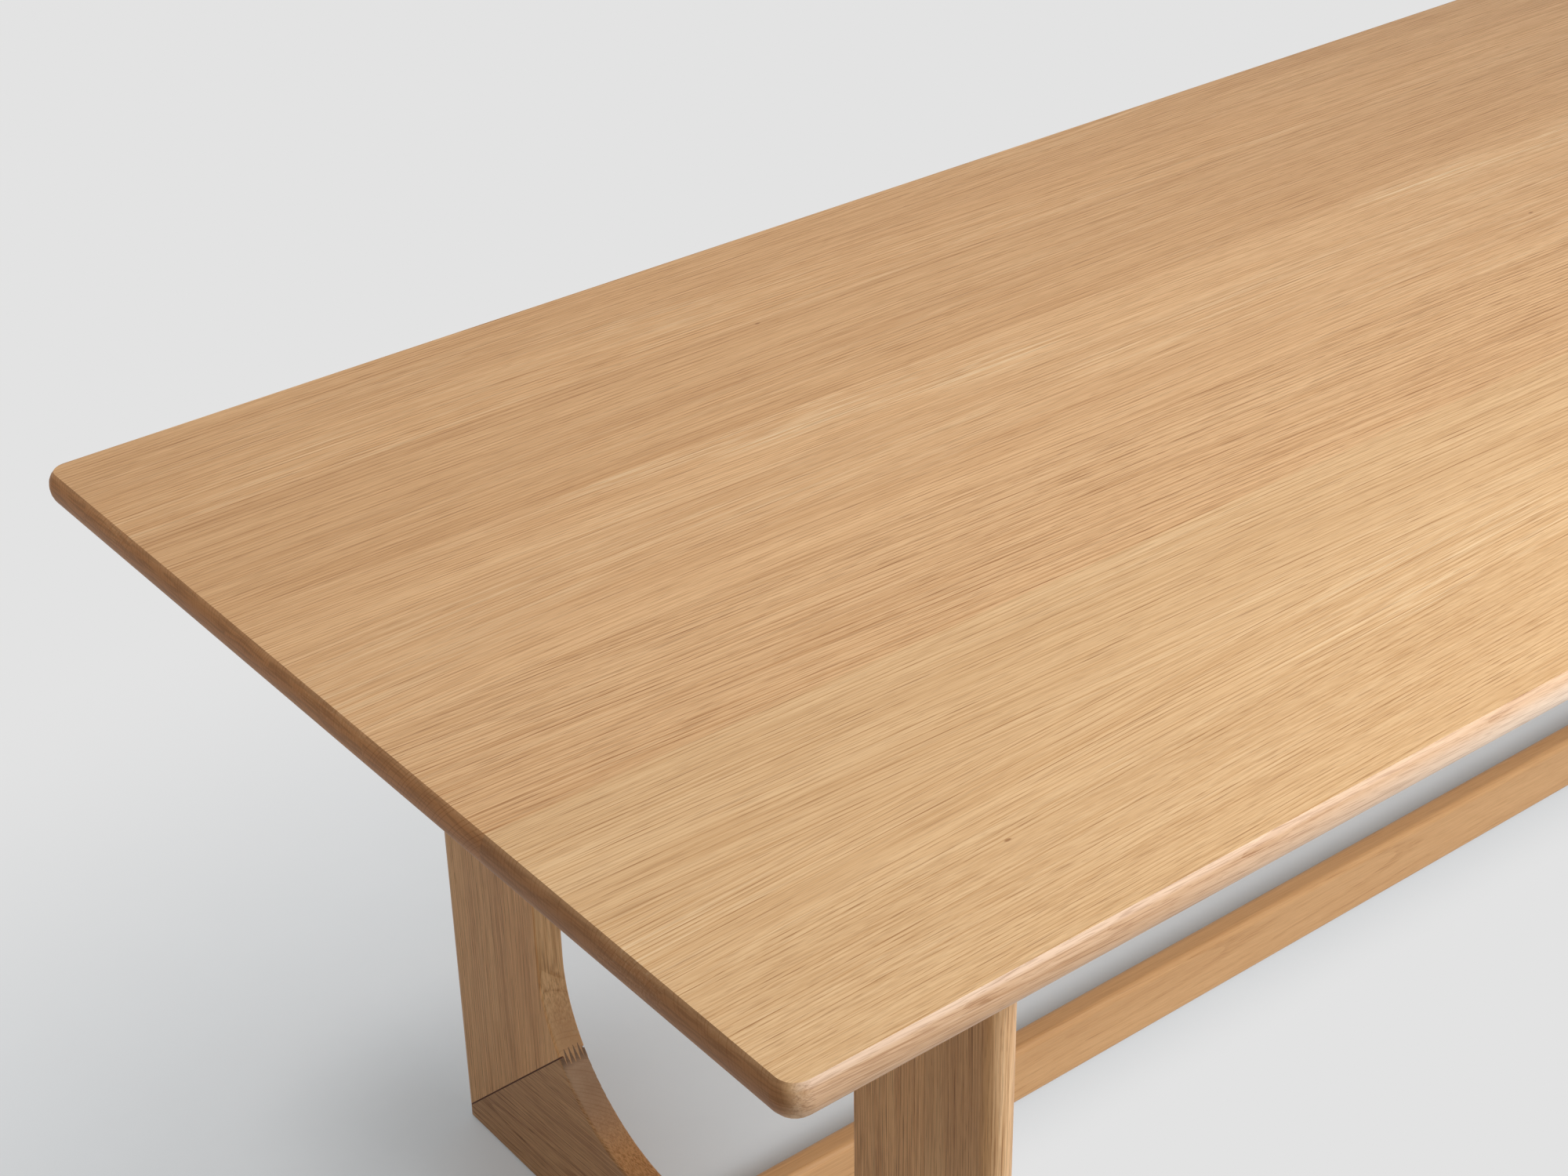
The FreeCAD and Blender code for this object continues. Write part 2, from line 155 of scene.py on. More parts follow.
class ShaderTree:
    """Node tree of a material or of the surround.

    Attributes:
        pattern_start: Place in the noise from which the patterns are counted.
        pattern_stride: Distance in the noise from one numbered pattern to the next.
    """

    pattern_start: Point = (0.0, 11.0, -6.0)
    pattern_stride: Point = (7.31, 3.77, 5.19)

    def __init__(self, owner: bpy.types.Material | bpy.types.World) -> None:
        """Empties the tree of a new material or surround.

        Args:
            owner: The material or surround.
        """
        owner.use_nodes = True
        self.owner = owner
        self.tree = owner.node_tree
        self.tree.nodes.clear()

    def node(self, kind: str, settings: Settings, sockets: Sockets) -> bpy.types.Node:
        """Adds one node.

        Args:
            kind: Type of the node.
            settings: Properties of the node, which are set first.
            sockets: Values or fields for its inputs, by name or number.

        Returns:
            The node.
        """
        node = self.tree.nodes.new(kind)
        for name, value in settings.items():
            setattr(node, name, value)
        for name, value in sockets.items():
            self.feed(node.inputs[name], value)
        return node

    def add(self, kind: str, settings: Settings, sockets: Sockets, output: int | str = 0) -> Field:
        """Adds one node and hands back one of its outputs.

        Args:
            kind: Type of the node.
            settings: Properties of the node, which are set first.
            sockets: Values or fields for its inputs, by name or number.
            output: Name or number of the output to hand back.

        Returns:
            The chosen output.
        """
        return Field(self, self.node(kind, settings, sockets).outputs[output])

    def feed(self, socket: bpy.types.NodeSocket, value: Any) -> None:
        """Links a field to a socket, or sets the socket's own value.

        Args:
            socket: Input socket of a node.
            value: Field, number, vector or colour.
        """
        if isinstance(value, Field):
            self.tree.links.new(value.socket, socket)
        elif socket.type == "RGBA":
            socket.default_value = (*value, 1.0)
        else:
            socket.default_value = value

    def parts(self, vector: Field) -> list[Field]:
        """The three parts of a vector."""
        first = self.add("ShaderNodeSeparateXYZ", {}, {0: vector})
        return [first, first.other("Y"), first.other("Z")]

    def vector(self, *parts: Field) -> Field:
        """A vector from three parts."""
        return self.add("ShaderNodeCombineXYZ", {}, dict(enumerate(parts)))

    def noise(self, place: Field, scale: Point, shift: float, detail: float = 1.0) -> Field:
        """Noise on a stretched copy of a place.

        Args:
            place: Place on the surface.
            scale: Waves per metre along the three directions of the place.
            shift: Number that sets one pattern apart from another.
            detail: Finer layers of the noise.

        Returns:
            A value from 0 to 1, about 0.5 on average.
        """
        strides = zip(self.pattern_start, self.pattern_stride)
        offset = tuple(start + shift * stride for start, stride in strides)
        sockets = {0: place, 1: scale, 2: offset}
        stretched = self.add("ShaderNodeVectorMath", {"operation": "MULTIPLY_ADD"}, sockets)
        return self.add("ShaderNodeTexNoise", {}, {"Vector": stretched, "Scale": 1.0, "Detail": detail})

    def mix(self, first: Any, second: Any, share: Any, way: str = "MIX") -> Field:
        """Mix of two colours.

        Args:
            first: Colour at a share of 0.
            second: Colour at a share of 1.
            share: Share of the second colour.
            way: How the second colour acts on the first.

        Returns:
            The mixed colour.
        """
        settings = {"data_type": "RGBA", "blend_type": way, "clamp_factor": True}
        # a Mix node's colours go in at 6 and 7 and come out at 2
        return self.add("ShaderNodeMix", settings, {0: share, 6: first, 7: second}, 2)

    def seen_share(self) -> Field:
        """1 for what the camera, gloss and glass see, and 0 for light on its way to other surfaces."""
        ray = self.add("ShaderNodeLightPath", {}, {}, "Is Camera Ray")
        return ray.most(ray.other("Is Glossy Ray")).most(ray.other("Is Transmission Ray"))


class FinishTree(ShaderTree):
    """Node tree of one material."""

    def __init__(self, name: str) -> None:
        """Starts an empty material of that name."""
        super().__init__(bpy.data.materials.new(name))

    def place(self) -> Field:
        """Place on the piece, in metres."""
        return self.add("ShaderNodeTexCoord", {}, {}, "Object")

    def relief(self, height: Field, strength: float, depth: float) -> Field:
        """Normal of a fine relief in the surface."""
        return self.add("ShaderNodeBump", {}, {"Strength": strength, "Distance": depth, "Height": height})

    def surface(self, **sockets: Any) -> bpy.types.Material:
        """Closes the tree with a Principled surface.

        Args:
            **sockets: Inputs of the surface, with underscores for spaces.

        Returns:
            The finished material.
        """
        named = {name.replace("_", " "): value for name, value in sockets.items()}
        return self.close(self.add("ShaderNodeBsdfPrincipled", {}, named))

    def close(self, shader: Field) -> bpy.types.Material:
        """Joins a shader to the material's output and hands back the material."""
        self.node("ShaderNodeOutputMaterial", {}, {"Surface": shader})
        return self.owner


class Lay(Enum):
    """Which way a board lies: axes along its grain, across its face and through its thickness."""

    STAVE = (0, 1, 2)
    STRETCHER = (0, 2, 1)
    RAIL = (1, 2, 0)
    UPRIGHT = (2, 1, 0)
    BEARER = (1, 0, 2)


@dataclass(frozen=True)
class OakTone:
    """Colours of an oak board under its satin oil.

    Attributes:
        pale: Dense wood of a growth ring.
        brown: Open wood of a growth ring.
        pore: Dark floor of the pores.
        ray: Bright flecks of the rays.
        end: Share of its lightness that the end grain keeps, for each part of the colour; a part above 1
            paints a pale sheen on it.
        end_turn: Turn of a face towards the end at which it starts to be end grain, and is end grain.
        side: Share of its lightness that a narrow long face keeps, for each part of the colour: a painted
            sheen where it makes the face paler and bluer, painted shade where it makes it darker.
        end_lines: How much fine lines show in the cut ends of the fibres.
        groove: Painted shade in the groove along a mitre.
        painted_sheen: Pale colour painted on the narrow long faces as a sheen.
        painted_sheen_reach: Distances from the board's middle at which the painted sheen starts and is full,
            in metres.
        painted_sheen_share: How much painted sheen shows.
        painted_highlight: Pale colour painted on an upper arris as a highlight.
        painted_highlight_share: How far the painted highlight shows.
    """

    pale: Colour = tint(235, 191, 142)
    brown: Colour = tint(201, 150, 99)
    pore: Colour = tint(146, 97, 55)
    ray: Colour = tint(246, 214, 170)
    end: Colour = (0.55, 0.44, 0.35)
    end_turn: Range = (0.45, 0.95)
    side: Colour = (1.0, 1.0, 1.0)
    end_lines: float = 0.0
    groove: Colour = tint(140, 80, 36)
    painted_sheen: Colour = tint(253, 241, 226)
    painted_sheen_reach: Range = (-0.95, 0.10)
    painted_sheen_share: float = 0.0
    painted_highlight: Colour = tint(246, 222, 204)
    painted_highlight_share: float = 0.0


@dataclass(frozen=True)
class Sawing:
    """How a board was sawn from its log, in metres.

    Attributes:
        heart_across: Heart of the log from the middle of the board, across its face.
        heart_deep: Heart of the log from the middle of the board, through its thickness.
        lean_across: Drift of the heart across the face for each metre along the grain.
        lean_deep: Drift of the heart through the thickness for each metre along the grain.
        ring_width: Width of a growth ring.
        rings: How far the growth rings show.
        pores: How far the pores show.
        rays: How far the ray flecks show.
        wave: How far the grain wanders from side to side.
        fibres: How far the fine fibres show.
        bands: How far broad bands of lighter and darker wood show.
    """

    heart_across: float
    heart_deep: float
    lean_across: float = 0.0
    lean_deep: float = 0.0
    ring_width: float = 0.0026
    rings: float = 0.5
    pores: float = 0.6
    rays: float = 0.25
    wave: float = 0.016
    fibres: float = 1.45
    bands: float = 0.7


@dataclass(frozen=True)
class Board:
    """One oak board of the table.

    Attributes:
        node: Solid that it is.
        lay: Which way it lies.
        sawing: How it was sawn.
        tone: Its colours.
        shade: Lightness beside its neighbours.
        seed: Number that sets its figure apart.
        pins: Places of pin knots along and across the face, from the middle of the board.
        grooved: Whether a mitre groove runs along it.
    """

    node: str
    lay: Lay
    sawing: Sawing
    tone: OakTone
    shade: float
    seed: float
    pins: tuple[Spot, ...] = ()
    grooved: bool = False

    def dress(self) -> None:
        """Gives the board's solid its own oak."""
        dress_node(self.node, OakFinish(self).material())


@dataclass(frozen=True)
class Figure:
    """One pattern of the wood.

    Attributes:
        number: Number that sets the pattern apart from the others of a board.
        waves: Waves per metre along the grain, across it and through it.
        shows: Values of the noise at which the pattern starts to show and shows in full.
        detail: Finer layers of the noise.
    """

    number: int
    waves: Point
    shows: Range = (0.0, 1.0)
    detail: float = 1.0


@dataclass(frozen=True)
class OakFigures:
    """Patterns that every oak board has.

    Attributes:
        bend: Slow wander of the grain along the board.
        ripple: Small waves in the grain.
        years: Better and worse years, which widen and narrow the growth rings.
        fibre: Fine fibres.
        band: Broad bands of lighter and darker wood.
        long_pore: Long open pores.
        short_pore: Short open pores.
        fleck: Flecks of the rays.
        patch: Patches in which the rays show.
        strong_year: Rings that show more than their neighbours.
        streak: Bright streaks.
        end_line: Cut ends of the fibres.
    """

    bend: Figure = Figure(0, (0.9, 2.0, 2.0))
    ripple: Figure = Figure(1, (9.0, 28.0, 28.0))
    years: Figure = Figure(2, (0.5, 75.0, 0.0))
    fibre: Figure = Figure(3, (9.0, 720.0, 720.0), detail=2.0)
    band: Figure = Figure(4, (1.1, 34.0, 34.0), detail=2.0)
    long_pore: Figure = Figure(5, (16.0, 900.0, 900.0), (0.55, 0.67))
    short_pore: Figure = Figure(6, (50.0, 1500.0, 1500.0), (0.56, 0.68))
    fleck: Figure = Figure(7, (20.0, 430.0, 90.0), (0.54, 0.68))
    patch: Figure = Figure(8, (1.8, 14.0, 14.0), (0.42, 0.62))
    strong_year: Figure = Figure(9, (3.5, 280.0, 0.0), (0.32, 0.60))
    streak: Figure = Figure(10, (5.5, 480.0, 480.0), (0.55, 0.68))
    end_line: Figure = Figure(11, (60.0, 34.0, 560.0), (0.42, 0.62), 2.0)


@dataclass(frozen=True)
class OakFinish:
    """Solid oak with a satin oil, cut through by the faces of one board.

    Attributes:
        board: Board that it dresses.
        figures: Patterns of the wood.
        roughness: Roughness of the oiled face.
        pore_roughness: Roughness that a pore adds.
        end_roughness: Roughness that end grain adds.
        band_roughness: Roughness that a brown band takes away.
        shine: Strength of the oil's reflection.
        relief: How strongly the relief of the grain shows.
        relief_depth: Depth of that relief in metres.
        fibre_height: Height of the fibres beside the depth of a pore.
        early_depth: Depth of the open wood beside the depth of a pore.
        brown_mean: Share of the brown wood on average.
        early_mean: Share of the open wood on average.
        early_reach: Parts of a growth ring at which its open wood starts to end and has ended.
        early_end_loss: Share of the open wood that is lost on end grain.
        early_side_loss: Share of the open wood that is lost on a narrow long face.
        line_end_loss: Share of the fibres and pores that is lost on end grain.
        side_turn: Turn of a face towards the side at which it starts to be a narrow face, and is one.
        year_change: How far better and worse years move the rings, in rings.
        ripple_width: Width of the small waves in metres.
        bend_deep: Share of the slow wander that goes through the thickness.
        short_pore_share: Darkness of a short pore beside a long one.
        dense_pores: Share of the pores that the dense wood has.
        fleck_share: Brightness of a fleck beside a streak.
        plain_rays: Share of the rays that shows outside their patches.
        crown_turn: Turn upwards at which the painted sheen of a rounded edge starts to end, and has ended.
        crown_loss: Share of the painted sheen that is lost there, which leaves the crown darker.
        arris_turn: Turn upwards at which the painted highlight on the arris of a rounded edge starts, and is
            full.
        edge_pores: Darkness of the pores in a narrow long face.
        end_line_shade: Lightness of the cut fibres beside the colour of a pore.
        pin_radius: Radius of a pin knot in metres.
        pin_core: Share of that radius that is dark all over.
        pin_stretch: Width of a pin knot beside its length.
        pin_share: Darkness of a pin knot.
        mitre_reach: Distance from the middle of the trestle at which its mitres meet the floor, in metres.
        groove_fades: Distances from the mitre at which the painted shade of its groove starts to fade and has
            faded.
        groove_floor: Distances from the middle of the thickness at which that painted shade starts and is
            full.
        finger_roots: Distances above the mitre between which the rail darkens into its fingers, in metres.
        finger_shade: Colour that darkens the end grain of the rail's fingers.
    """

    board: Board
    figures: OakFigures = OakFigures()
    roughness: float = 0.40
    pore_roughness: float = 0.16
    end_roughness: float = 0.08
    band_roughness: float = 0.08
    shine: float = 0.2
    relief: float = 0.22
    relief_depth: float = 0.0004
    fibre_height: float = 0.35
    early_depth: float = 0.25
    brown_mean: float = 0.42
    early_mean: float = 0.12
    early_reach: Range = (0.05, 0.32)
    early_end_loss: float = 0.4
    early_side_loss: float = 0.55
    line_end_loss: float = 0.95
    side_turn: Range = (0.45, 0.95)
    year_change: float = 1.4
    ripple_width: float = 0.0014
    bend_deep: float = 0.4
    short_pore_share: float = 0.8
    dense_pores: float = 0.4
    fleck_share: float = 0.5
    plain_rays: float = 0.15
    crown_turn: Range = (-0.15, 0.70)
    crown_loss: float = 0.95
    arris_turn: Range = (0.42, 0.66)
    edge_pores: float = 0.6
    end_line_shade: float = 0.6
    pin_radius: float = 0.0017
    pin_core: float = 0.4
    pin_stretch: float = 0.45
    pin_share: float = 0.75
    mitre_reach: float = 0.373
    groove_fades: Range = (0.0004, 0.0009)
    groove_floor: Range = (0.0097, 0.0105)
    finger_roots: Range = (-0.0130, -0.0040)
    finger_shade: Colour = (0.48, 0.45, 0.44)

    def material(self) -> bpy.types.Material:
        """Makes the oak of the board.

        Returns:
            The material.
        """
        tree = FinishTree(f"oak_{self.board.node}")
        sawing = self.board.sawing
        tone = self.board.tone
        coordinates = tree.place()
        along, across, deep = self.board_axes(tree, coordinates)
        grain = self.grain_place(tree, along, across, deep)

        facing = tree.parts(coordinates.other("Normal"))
        end, side = (abs(facing[axis]) for axis in self.board.lay.value[:2])
        end = end.step(*tone.end_turn)
        side = side.step(*self.side_turn)
        long_face = 1 - end * self.line_end_loss

        early = self.open_wood(tree, grain)
        early = early * (1 - end * self.early_end_loss) * (1 - side * self.early_side_loss)
        fibre = (self.pattern(tree, grain, self.figures.fibre) - 0.5) * long_face
        band = self.pattern(tree, grain, self.figures.band) - 0.5
        pores = self.pores(tree, grain, early) * long_face
        rings = (early - self.early_mean) * sawing.rings
        brown_share = self.brown_mean + rings + fibre * sawing.fibres + band * sawing.bands

        pale = scaled(tone.pale, self.board.shade)
        brown = scaled(tone.brown, self.board.shade)
        colour = tree.mix(pale, brown, brown_share)
        colour = tree.mix(colour, tone.ray, self.rays(tree, grain) * sawing.rays)
        colour = tree.mix(colour, tone.pore, pores * sawing.pores)
        for place in self.board.pins:
            colour = tree.mix(colour, tone.pore, self.pin(along, across, place))

        # the side colour paints a sheen or a shade on the narrow long faces
        colour = tree.mix(colour, tone.side, side, "MULTIPLY")
        # painted sheen and a painted highlight on a rounded long edge
        if tone.painted_highlight_share:
            colour = self.painted_edge_light_and_pores(tree, colour, along, facing[2], side, pores)
        # end grain is darker; where the end colour goes above 1 it paints a pale sheen
        colour = tree.mix(colour, tone.end, end, "MULTIPLY")
        if tone.end_lines:
            lines = self.shown(tree, grain, self.figures.end_line)
            colour = tree.mix(colour, scaled(tone.pore, self.end_line_shade), end * lines * tone.end_lines)
        # painted shade in the mitre groove, and the dark ends of the rail's fingers
        if self.board.grooved:
            colour = self.mitre(tree, colour, coordinates, deep, end)

        height = fibre * self.fibre_height - pores - early * self.early_depth
        normal = tree.relief(height, self.relief, self.relief_depth)
        roughness = self.roughness + pores * self.pore_roughness + end * self.end_roughness
        roughness = roughness - band * self.band_roughness
        return tree.surface(
            Base_Color=colour, Roughness=roughness, Normal=normal, Specular_IOR_Level=self.shine,
        )

    def pattern(self, tree: FinishTree, place: Field, figure: Figure) -> Field:
        """Noise of one pattern of the board."""
        return tree.noise(place, figure.waves, self.board.seed + figure.number, figure.detail)

    def shown(self, tree: FinishTree, place: Field, figure: Figure) -> Field:
        """One pattern of the board, from 0 where it is missing to 1 where it shows in full."""
        return self.pattern(tree, place, figure).step(*figure.shows)

    def board_axes(self, tree: FinishTree, coordinates: Field) -> list[Field]:
        """Distances from the middle of the board.

        Args:
            tree: Tree that the nodes go into.
            coordinates: Place on the table.

        Returns:
            Distances along the grain, across the face and through the thickness.
        """
        low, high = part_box(self.board.node)
        place = tree.parts(coordinates)
        return [place[axis] - (low[axis] + high[axis]) / 2 for axis in self.board.lay.value]

    def grain_place(self, tree: FinishTree, along: Field, across: Field, deep: Field) -> Field:
        """Place in the board, on lines that lean and wander as its fibres do.

        Args:
            tree: Tree that the nodes go into.
            along: Distance along the board.
            across: Distance across the face.
            deep: Distance through the thickness.

        Returns:
            Distances along, beside and below the fibres.
        """
        sawing = self.board.sawing
        place = tree.vector(along, across, deep)
        bend = (self.pattern(tree, place, self.figures.bend) - 0.5) * (sawing.wave * 2)
        ripple = (self.pattern(tree, place, self.figures.ripple) - 0.5) * self.ripple_width
        aside = across + along * sawing.lean_across + bend + ripple
        below = deep + along * sawing.lean_deep + bend * self.bend_deep
        return tree.vector(along, aside, below)

    def open_wood(self, tree: FinishTree, grain: Field) -> Field:
        """Open, porous wood at the start of each growth ring.

        Args:
            tree: Tree that the nodes go into.
            grain: Place beside the fibres.

        Returns:
            1 where a strong ring starts, falling to 0 in its dense wood.
        """
        sawing = self.board.sawing
        along, aside, below = tree.parts(grain)
        beside = aside - sawing.heart_across
        under = below - sawing.heart_deep
        radius = (beside * beside + under * under) ** 0.5
        growth = tree.vector(along, radius, radius)
        uneven = self.pattern(tree, growth, self.figures.years) * self.year_change
        strength = self.shown(tree, growth, self.figures.strong_year)
        ring = (radius / sawing.ring_width + uneven).rest()
        return (1 - ring.step(*self.early_reach)) * strength

    def pores(self, tree: FinishTree, grain: Field, early: Field) -> Field:
        """Long open pores, mostly in the open wood.

        Args:
            tree: Tree that the nodes go into.
            grain: Place beside the fibres.
            early: Open wood of the rings.

        Returns:
            1 in a pore and 0 beside it.
        """
        long_pores = self.shown(tree, grain, self.figures.long_pore)
        short_pores = self.shown(tree, grain, self.figures.short_pore)
        share = early * (1 - self.dense_pores) + self.dense_pores
        return long_pores.most(short_pores * self.short_pore_share) * share

    def rays(self, tree: FinishTree, grain: Field) -> Field:
        """Bright rays and streaks, in patches.

        Args:
            tree: Tree that the nodes go into.
            grain: Place beside the fibres.

        Returns:
            1 in a streak and 0 beside it.
        """
        flecks = self.shown(tree, grain, self.figures.fleck)
        streaks = self.shown(tree, grain, self.figures.streak)
        patches = self.shown(tree, grain, self.figures.patch)
        return streaks.most(flecks * self.fleck_share) * (patches * (1 - self.plain_rays) + self.plain_rays)

    def painted_edge_light_and_pores(
        self, tree: FinishTree, colour: Field, along: Field, up: Field, side: Field, pores: Field
    ) -> Field:
        """Painted sheen and a painted highlight on a rounded long edge, with the pores of its face.

        Args:
            tree: Tree that the nodes go into.
            colour: Colour of the wood.
            along: Distance along the board.
            up: Turn of the face upwards.
            side: 1 on the narrow long faces and 0 elsewhere.
            pores: Pores of the wood.

        Returns:
            The colour with the edge in it.
        """
        tone = self.board.tone
        # painted sheen along the narrow long faces, kept off the crown, which stays darker
        sheen_along = along.step(*tone.painted_sheen_reach)
        crown = up.step(*self.crown_turn)
        colour = tree.mix(colour, tone.painted_sheen, side * sheen_along * (1 - crown * self.crown_loss) * tone.painted_sheen_share)
        # painted highlight on the arris, where the painted sheen is missing
        arris = side * up.step(*self.arris_turn) * (1 - sheen_along)
        colour = tree.mix(colour, tone.painted_highlight, arris * tone.painted_highlight_share)
        return tree.mix(colour, tone.pore, side * pores * self.edge_pores)

    def mitre(self, tree: FinishTree, colour: Field, coordinates: Field, deep: Field, end: Field) -> Field:
        """Fingers and groove of the mitre: dark end grain, and painted shade in the groove.

        Args:
            tree: Tree that the nodes go into.
            colour: Colour of the wood.
            coordinates: Place on the table.
            deep: Distance through the thickness.
            end: 1 on end grain and 0 elsewhere.

        Returns:
            The colour with the mitre in it.
        """
        _, y, z = tree.parts(coordinates)
        above = (abs(y) + z - self.mitre_reach) * math.sqrt(0.5)
        if self.board.lay is Lay.RAIL:
            fingers = above.step(*self.finger_roots) * end
            colour = tree.mix(colour, self.finger_shade, fingers, "MULTIPLY")
        # painted shade in the groove
        groove = (1 - abs(above).step(*self.groove_fades)) * abs(deep).step(*self.groove_floor)
        return tree.mix(colour, self.board.tone.groove, groove)

    def pin(self, along: Field, across: Field, place: Spot) -> Field:
        """A pin knot, drawn out along the grain.

        Args:
            along: Distance along the grain.
            across: Distance across the face.
            place: Place of the knot along and across the face.

        Returns:
            1 in the knot and 0 beside it.
        """
        sideways = (along - place[0]) * self.pin_stretch
        upwards = across - place[1]
        distance = (sideways * sideways + upwards * upwards) ** 0.5
        return (1 - distance.step(self.pin_radius * self.pin_core, self.pin_radius)) * self.pin_share


@dataclass(frozen=True)
class MetalFinish:
    """Bare or plated metal with fine turning marks.

    Attributes:
        name: Name of the finish.
        colour: Colour of the metal.
        roughness: Roughness of the metal.
        cloud_waves: Waves per metre of its dull clouds.
        cloud_shows: Values of the noise at which a cloud starts to clear and is clear.
        cloud_shade: Lightness of a cloud beside the clear metal.
        cloud_roughness: How far the clouds change the roughness.
        mark_waves: Waves per metre of the turning marks.
        mark_roughness: How far the marks change the roughness.
        mark_strength: How strongly the marks show.
        mark_depth: Depth of the marks in metres.
    """

    name: str
    colour: Colour
    roughness: float
    cloud_waves: Point = (90.0, 90.0, 90.0)
    cloud_shows: Range = (0.3, 0.65)
    cloud_shade: float = 0.86
    cloud_roughness: float = 0.2
    mark_waves: Point = (2600.0, 2600.0, 700.0)
    mark_roughness: float = 0.16
    mark_strength: float = 0.12
    mark_depth: float = 0.0001

    def material(self) -> bpy.types.Material:
        """Makes the metal.

        Returns:
            The material.
        """
        tree = FinishTree(self.name)
        place = tree.place()
        cloud = tree.noise(place, self.cloud_waves, 1.0, 3.0)
        marks = tree.noise(place, self.mark_waves, 2.0, 2.0)
        dull = scaled(self.colour, self.cloud_shade)
        colour = tree.mix(dull, self.colour, cloud.step(*self.cloud_shows))
        uneven = (cloud - 0.5) * self.cloud_roughness + (marks - 0.5) * self.mark_roughness
        normal = tree.relief(marks, self.mark_strength, self.mark_depth)
        return tree.surface(Base_Color=colour, Roughness=self.roughness + uneven, Metallic=1.0, Normal=normal)


@dataclass(frozen=True)
class PaintFinish:
    """Powder paint or moulded plastic, with a fine uneven skin.

    Attributes:
        name: Name of the finish.
        colour: Colour of the skin.
        roughness: Roughness of the skin.
        skin: Waves per metre of the uneven skin.
        skin_roughness: How far the skin changes the roughness.
        skin_strength: How strongly the skin shows.
        skin_depth: Depth of the skin in metres.
        cloud: Waves per metre of its pale clouds.
        cloud_shows: Values of the noise at which a cloud starts to show and shows in full.
        cloud_shade: Lightness of a cloud beside the colour.
    """

    name: str
    colour: Colour
    roughness: float
    skin: float
    skin_roughness: float = 0.18
    skin_strength: float = 0.3
    skin_depth: float = 0.0002
    cloud: float = 40.0
    cloud_shows: Range = (0.35, 0.75)
    cloud_shade: float = 1.5

    def material(self) -> bpy.types.Material:
        """Makes the skin.

        Returns:
            The material.
        """
        tree = FinishTree(self.name)
        place = tree.place()
        pits = tree.noise(place, (self.skin,) * 3, 1.0, 2.0)
        cloud = tree.noise(place, (self.cloud,) * 3, 2.0, 2.0)
        colour = tree.mix(self.colour, scaled(self.colour, self.cloud_shade), cloud.step(*self.cloud_shows))
        roughness = self.roughness + (pits - 0.5) * self.skin_roughness
        normal = tree.relief(pits, self.skin_strength, self.skin_depth)
        return tree.surface(Base_Color=colour, Roughness=roughness, Normal=normal)


@dataclass(frozen=True)
class DowelFinish:
    """Plain beech of the dowels, with short dark flecks.

    Attributes:
        pale: Ground colour.
        fleck: Colour of the flecks.
        fleck_waves: Waves per metre of the flecks.
        fleck_shows: Values of the noise at which a fleck starts to show and shows in full.
        fleck_share: Darkness of a fleck.
        fleck_roughness: Roughness that a fleck takes away.
        fibre_waves: Waves per metre of the fibres.
        fibre_shows: Values of the noise at which a fibre starts to show and shows in full.
        fibre_strength: How strongly the relief of the fibres shows.
        fibre_depth: Depth of that relief in metres.
        roughness: Roughness of the bare wood.
    """

    pale: Colour = tint(222, 190, 148)
    fleck: Colour = tint(168, 122, 78)
    fleck_waves: Point = (1100.0, 1100.0, 160.0)
    fleck_shows: Range = (0.56, 0.7)
    fleck_share: float = 0.6
    fleck_roughness: float = 0.1
    fibre_waves: Point = (700.0, 700.0, 9.0)
    fibre_shows: Range = (0.35, 0.95)
    fibre_strength: float = 0.2
    fibre_depth: float = 0.0002
    roughness: float = 0.6

    def material(self) -> bpy.types.Material:
        """Makes the beech.

        Returns:
            The material.
        """
        tree = FinishTree("beech_dowel")
        place = tree.place()
        flecks = tree.noise(place, self.fleck_waves, 1.0).step(*self.fleck_shows)
        fibre = tree.noise(place, self.fibre_waves, 2.0, 2.0)
        colour = tree.mix(self.pale, self.fleck, fibre.step(*self.fibre_shows))
        colour = tree.mix(colour, self.fleck, flecks * self.fleck_share)
        roughness = self.roughness - flecks * self.fleck_roughness
        normal = tree.relief(fibre, self.fibre_strength, self.fibre_depth)
        return tree.surface(Base_Color=colour, Roughness=roughness, Normal=normal)


@dataclass(frozen=True)
class Finishes:
    """Finishes that several pieces share.

    Attributes:
        steel: Zinc-plated steel of the bolts and screws.
        brass: Brass of the threaded inserts.
        paint: Black powder paint of the channels.
        plastic: Grey plastic of the glides.
        beech: Beech of the dowels.
    """

    steel: bpy.types.Material
    brass: bpy.types.Material
    paint: bpy.types.Material
    plastic: bpy.types.Material
    beech: bpy.types.Material

    @classmethod
    def mixed(cls) -> "Finishes":
        """Makes each shared finish once.

        Returns:
            The finishes.
        """
        kinds = {
            "steel": MetalFinish("zinc_plate", tint(196, 198, 200), roughness=0.36),
            "brass": MetalFinish("brass_insert", tint(212, 174, 104), roughness=0.32),
            "paint": PaintFinish("black_powder_paint", tint(38, 38, 40), roughness=0.55, skin=900.0),
            "plastic": PaintFinish("grey_glide_plastic", tint(66, 64, 62), roughness=0.6, skin=2200.0),
            "beech": DowelFinish(),
        }
        return cls(**{name: kind.material() for name, kind in kinds.items()})


def dress_node(node: str, finish: bpy.types.Material) -> None:
    """Gives a solid a finish.

    Args:
        node: Name of the solid.
        finish: Its material.
    """
    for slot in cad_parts[node].material_slots:
        slot.material = finish
    log.info("%s on %s", finish.name, node)


class Drive(Enum):
    """Recess in the head of a fastener, by the corners of its outline."""

    NONE = 0
    SLOT = 4
    HEX = 6
    CROSS = 8


